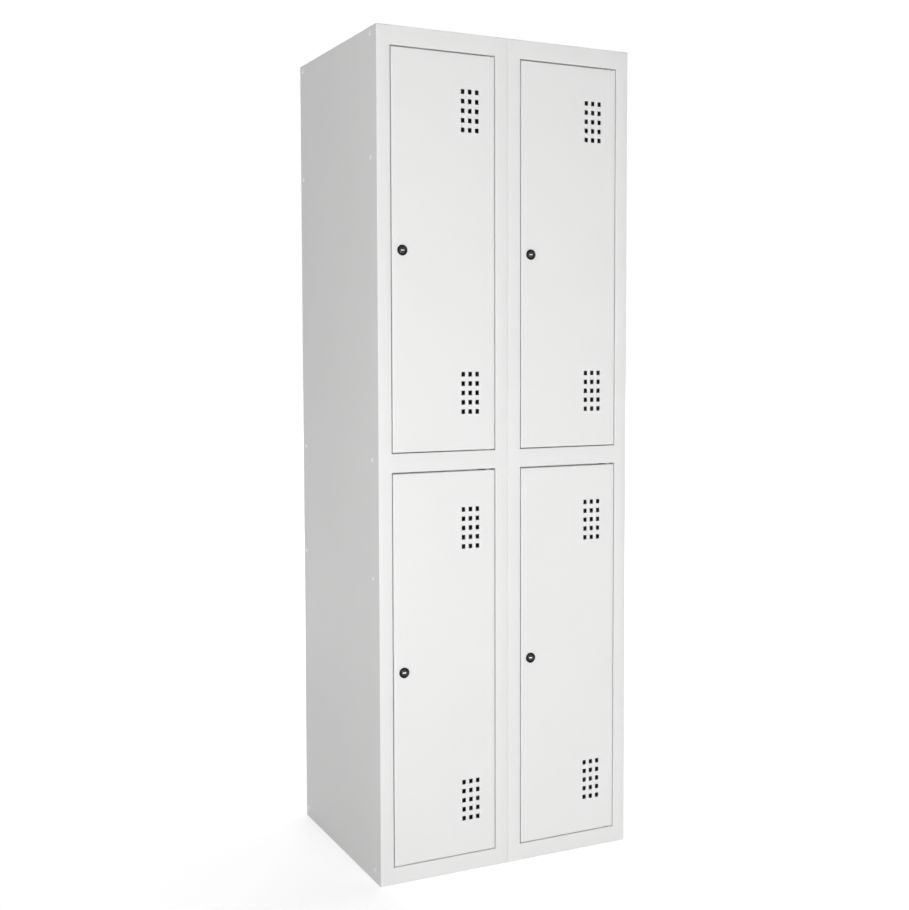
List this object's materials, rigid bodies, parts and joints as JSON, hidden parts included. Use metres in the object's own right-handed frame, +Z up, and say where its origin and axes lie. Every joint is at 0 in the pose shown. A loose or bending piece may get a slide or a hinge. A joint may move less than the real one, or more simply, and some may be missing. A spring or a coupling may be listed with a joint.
{
  "type": "locker cabinet",
  "caption": "Two-column steel locker cabinet with two tiers of inset hinged doors, cam locks, square vent holes, hat shelves and coat hooks.",
  "frame": {"origin": "middle of the cabinet's footprint, on the floor", "axes": "+X to the right seen from the doors, +Y from the doors to the back, +Z up"},
  "size_m": [0.6032, 0.5024, 1.8],
  "materials": {
    "carcass_coat": "light grey-white powder coat, fine texture, low sheen",
    "door_coat": "light grey-white powder coat, fine texture, low sheen",
    "zinc_plate": "bright zinc plate",
    "bright_steel": "turned steel",
    "black_lock": "black nickel, glossy",
    "lock_plug": "dark nickel, brushed",
    "nylon": "natural nylon",
    "rubber": "black rubber"
  },
  "bodies": {
    "cabinet": {"left_column_left_side": "carcass_coat", "left_column_right_side": "carcass_coat", "right_column_left_side": "carcass_coat", "right_column_right_side": "carcass_coat", "left_roof": "carcass_coat", "right_roof": "carcass_coat", "left_base_pan": "carcass_coat", "right_base_pan": "carcass_coat", "left_tier_divider": "carcass_coat", "right_tier_divider": "carcass_coat", "left_back_panel": "carcass_coat", "right_back_panel": "carcass_coat", "lower_left_shelf": "carcass_coat", "upper_left_shelf": "carcass_coat", "lower_right_shelf": "carcass_coat", "upper_right_shelf": "carcass_coat", "lower_left_coat_hook": "zinc_plate", "upper_left_coat_hook": "zinc_plate", "lower_right_coat_hook": "zinc_plate", "upper_right_coat_hook": "zinc_plate", "hook_rivets": "zinc_plate", "left_side_rivets": "zinc_plate", "right_side_rivets": "zinc_plate", "column_joining_bolts": "zinc_plate", "pivot_bushes": "nylon", "door_buffers": "rubber"},
    "lower_left_door": {"lower_left_door": "door_coat", "lower_left_stiffener": "door_coat", "lower_left_pivot_pins": "bright_steel", "lower_left_lock_housing": "black_lock", "lower_left_lock_nut": "zinc_plate"},
    "lower_left_lock": {"lower_left_lock_plug": "lock_plug", "lower_left_lock_cam": "zinc_plate", "lower_left_cam_screw": "zinc_plate"},
    "upper_left_door": {"upper_left_door": "door_coat", "upper_left_stiffener": "door_coat", "upper_left_pivot_pins": "bright_steel", "upper_left_lock_housing": "black_lock", "upper_left_lock_nut": "zinc_plate"},
    "upper_left_lock": {"upper_left_lock_plug": "lock_plug", "upper_left_lock_cam": "zinc_plate", "upper_left_cam_screw": "zinc_plate"},
    "lower_right_door": {"lower_right_door": "door_coat", "lower_right_stiffener": "door_coat", "lower_right_pivot_pins": "bright_steel", "lower_right_lock_housing": "black_lock", "lower_right_lock_nut": "zinc_plate"},
    "lower_right_lock": {"lower_right_lock_plug": "lock_plug", "lower_right_lock_cam": "zinc_plate", "lower_right_cam_screw": "zinc_plate"},
    "upper_right_door": {"upper_right_door": "door_coat", "upper_right_stiffener": "door_coat", "upper_right_pivot_pins": "bright_steel", "upper_right_lock_housing": "black_lock", "upper_right_lock_nut": "zinc_plate"},
    "upper_right_lock": {"upper_right_lock_plug": "lock_plug", "upper_right_lock_cam": "zinc_plate", "upper_right_cam_screw": "zinc_plate"}
  },
  "joints": [
    {"name": "lower_left_door_hinge", "type": "hinge", "parent": "cabinet", "child": "lower_left_door", "pos_m": [-0.04625, -0.2435, 0.45775], "axis": [0, 0, 1], "range_deg": [0, 110]},
    {"name": "lower_left_lock_turn", "type": "hinge", "parent": "lower_left_door", "child": "lower_left_lock", "pos_m": [-0.245, -0.25, 0.45375], "axis": [0, 1, 0], "range_deg": [0, 90]},
    {"name": "upper_left_door_hinge", "type": "hinge", "parent": "cabinet", "child": "upper_left_door", "pos_m": [-0.04625, -0.2435, 1.33925], "axis": [0, 0, 1], "range_deg": [0, 110]},
    {"name": "upper_left_lock_turn", "type": "hinge", "parent": "upper_left_door", "child": "upper_left_lock", "pos_m": [-0.245, -0.25, 1.34175], "axis": [0, 1, 0], "range_deg": [0, 90]},
    {"name": "lower_right_door_hinge", "type": "hinge", "parent": "cabinet", "child": "lower_right_door", "pos_m": [0.254, -0.2435, 0.45775], "axis": [0, 0, 1], "range_deg": [0, 110]},
    {"name": "lower_right_lock_turn", "type": "hinge", "parent": "lower_right_door", "child": "lower_right_lock", "pos_m": [0.05525, -0.25, 0.45375], "axis": [0, 1, 0], "range_deg": [0, 90]},
    {"name": "upper_right_door_hinge", "type": "hinge", "parent": "cabinet", "child": "upper_right_door", "pos_m": [0.254, -0.2435, 1.33925], "axis": [0, 0, 1], "range_deg": [0, 110]},
    {"name": "upper_right_lock_turn", "type": "hinge", "parent": "upper_right_door", "child": "upper_right_lock", "pos_m": [0.05525, -0.25, 1.34175], "axis": [0, 1, 0], "range_deg": [0, 90]}
  ]
}
